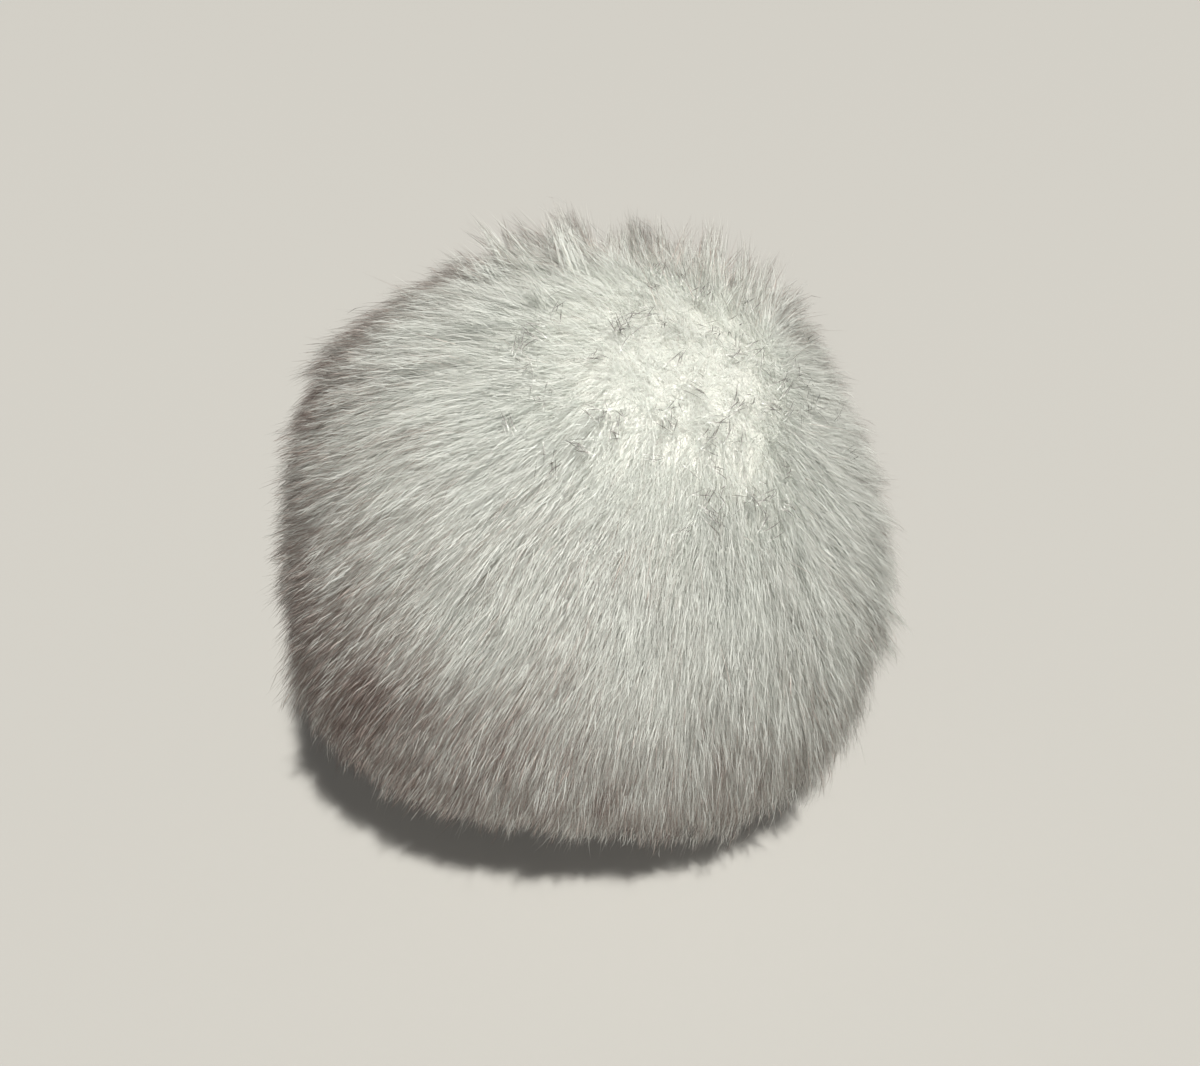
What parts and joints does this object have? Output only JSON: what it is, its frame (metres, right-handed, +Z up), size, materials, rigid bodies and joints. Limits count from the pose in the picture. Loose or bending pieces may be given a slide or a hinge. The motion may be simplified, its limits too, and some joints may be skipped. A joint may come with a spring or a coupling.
{
  "type": "pom pom",
  "caption": "Round faux fur pom pom with a dense silver-grey pile combed from a soft whorl, fuller round its lower side and resting on a flat spot.",
  "frame": {"origin": "centre of the flat foot, on the surface that the pom pom stands on", "axes": "+Z up from the foot to the crown, -Y towards the side seen from the front, +X to the right seen from the front"},
  "size_m": [0.1238, 0.1241, 0.1142],
  "materials": {
    "fur": "long silver-white acrylic pile with grey-taupe tips, soft sheen"
  },
  "bodies": {
    "root": {"fur_ball": "fur"}
  },
  "joints": []
}
